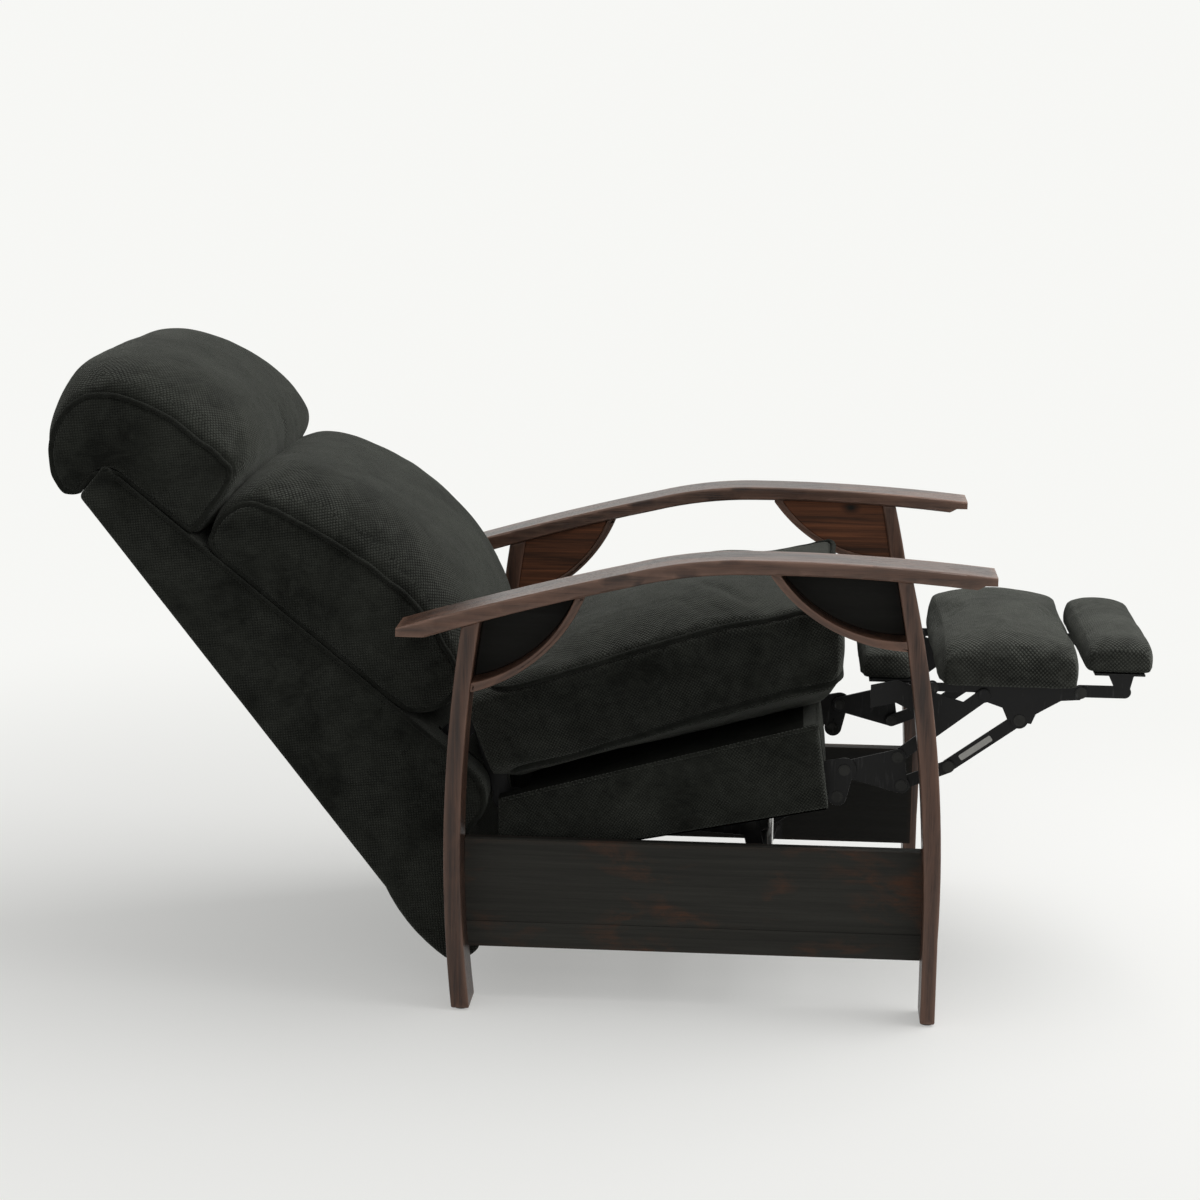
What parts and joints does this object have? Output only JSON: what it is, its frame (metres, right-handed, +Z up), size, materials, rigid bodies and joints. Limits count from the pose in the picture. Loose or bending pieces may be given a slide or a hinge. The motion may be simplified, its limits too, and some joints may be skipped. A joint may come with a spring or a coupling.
{
  "type": "barrel recliner",
  "caption": "Push-back recliner with open bowed timber arms, loose charcoal cushions, head roll and folding legrest.",
  "frame": {"origin": "on the floor under the middle of the chair's box, as pictured fully reclined", "axes": "+X towards the legrest, +Y to the sitter's left, +Z up"},
  "size_m": [1.5274, 0.71, 0.8661],
  "materials": {
    "dark_walnut": "worn oiled dark walnut",
    "stained_board": "dark stained board with rub-through",
    "frame_timber": "plain sawn frame timber",
    "charcoal_chenille": "matte chenille basket weave",
    "pad_chenille": "matte chenille basket weave, lighter nap",
    "black_steel": "satin black enamel",
    "plated_rod": "zinc plated",
    "spring_wire": "drawn wire",
    "glide_rubber": "moulded"
  },
  "bodies": {
    "frame": {"arm_board_left": "dark_walnut", "front_leg_left": "dark_walnut", "rear_leg_left": "dark_walnut", "front_bracket_arc_left": "dark_walnut", "rear_bracket_arc_left": "dark_walnut", "front_fan_panel_left": "stained_board", "rear_fan_panel_left": "stained_board", "side_panel_left": "stained_board", "base_plate_left": "black_steel", "arm_board_right": "dark_walnut", "front_leg_right": "dark_walnut", "rear_leg_right": "dark_walnut", "front_bracket_arc_right": "dark_walnut", "rear_bracket_arc_right": "dark_walnut", "front_fan_panel_right": "stained_board", "rear_fan_panel_right": "stained_board", "side_panel_right": "stained_board", "base_plate_right": "black_steel", "rear_cross_rail": "frame_timber", "front_cross_tube": "black_steel", "rear_cross_tube": "black_steel", "stop_rods": "plated_rod", "base_pins": "black_steel", "frame_bolts": "plated_rod", "foot_glides": "glide_rubber"},
    "front_swing": {"front_swing_links": "black_steel"},
    "rear_swing": {"rear_swing_links": "black_steel"},
    "seat": {"seat_plate_left": "black_steel", "seat_plate_right": "black_steel", "seat_pins": "black_steel", "seat_spacers": "black_steel", "deck_side_rail_left": "frame_timber", "deck_side_rail_right": "frame_timber", "deck_front_rail": "frame_timber", "deck_rear_rail": "frame_timber", "deck_cover": "charcoal_chenille", "seat_springs": "spring_wire", "seat_cushion": "charcoal_chenille"},
    "back": {"back_post_left": "frame_timber", "back_post_right": "frame_timber", "back_cross_rails": "frame_timber", "back_springs": "spring_wire", "back_brackets": "black_steel", "back_shell": "charcoal_chenille", "back_cushion": "charcoal_chenille", "head_roll": "charcoal_chenille"},
    "carrier": {"carrier_plates": "black_steel", "carrier_rivets": "black_steel"},
    "upper_link": {"upper_links": "black_steel"},
    "lower_link": {"lower_links": "black_steel", "lower_link_rivets": "black_steel"},
    "front_link": {"front_links": "black_steel"},
    "ottoman": {"ottoman_brackets": "black_steel", "ottoman_rivets": "black_steel", "main_pad": "pad_chenille"},
    "foot_flap": {"foot_brackets": "black_steel", "foot_pad": "pad_chenille"},
    "filler_flap": {"filler_brackets": "black_steel", "filler_pad": "pad_chenille"}
  },
  "joints": [
    {"name": "recline", "type": "hinge", "parent": "frame", "child": "front_swing", "pos_m": [0.23939, 0, 0.128], "axis": [0, 1, 0], "range_deg": [0, 25]},
    {"name": "seat_tilt", "type": "hinge", "parent": "front_swing", "child": "seat", "pos_m": [0.21339, 0, 0.236], "axis": [0, 1, 0], "range_deg": [-18.39, 0]},
    {"name": "rear_swing_turn", "type": "hinge", "parent": "frame", "child": "rear_swing", "pos_m": [-0.05861, 0, 0.118], "axis": [0, 1, 0], "range_deg": [0, 42.05]},
    {"name": "back_tilt", "type": "hinge", "parent": "seat", "child": "back", "pos_m": [-0.16861, 0, 0.385], "axis": [0, 1, 0], "range_deg": [0, 23.39]},
    {"name": "legrest", "type": "hinge", "parent": "seat", "child": "carrier", "pos_m": [0.34138, 0, 0.317], "axis": [0, 1, 0], "range_deg": [0, 120]},
    {"name": "upper_link_turn", "type": "hinge", "parent": "carrier", "child": "upper_link", "pos_m": [0.41439, 0, 0.336], "axis": [0, 1, 0], "range_deg": [-152.39, 0]},
    {"name": "lower_link_turn", "type": "hinge", "parent": "carrier", "child": "lower_link", "pos_m": [0.42039, 0, 0.296], "axis": [0, 1, 0], "range_deg": [-53.82, 0]},
    {"name": "front_link_turn", "type": "hinge", "parent": "lower_link", "child": "front_link", "pos_m": [0.48439, 0, 0.322], "axis": [0, 1, 0], "range_deg": [-116.33, 0]},
    {"name": "main_pad_turn", "type": "hinge", "parent": "front_link", "child": "ottoman", "pos_m": [0.57939, 0, 0.391], "axis": [0, 1, 0], "range_deg": [0, 133.55]},
    {"name": "foot_pad_fold", "type": "hinge", "parent": "ottoman", "child": "foot_flap", "pos_m": [0.66139, 0, 0.432], "axis": [0, 1, 0], "range_deg": [0, 90.01]},
    {"name": "filler_pad_fold", "type": "hinge", "parent": "ottoman", "child": "filler_flap", "pos_m": [0.45939, 0, 0.433], "axis": [0, 1, 0], "range_deg": [-180.01, 0]}
  ],
  "couplings": [
    {"joint": "seat_tilt", "follows": "recline", "ratio": -0.73527},
    {"joint": "rear_swing_turn", "follows": "recline", "ratio": 1.6817},
    {"joint": "back_tilt", "follows": "recline", "ratio": 0.93527},
    {"joint": "upper_link_turn", "follows": "legrest", "ratio": -1.2698},
    {"joint": "lower_link_turn", "follows": "legrest", "ratio": -0.44845},
    {"joint": "front_link_turn", "follows": "legrest", "ratio": -0.96937},
    {"joint": "main_pad_turn", "follows": "legrest", "ratio": 1.1128},
    {"joint": "foot_pad_fold", "follows": "legrest", "ratio": 0.75},
    {"joint": "filler_pad_fold", "follows": "legrest", "ratio": -1.5}
  ]
}
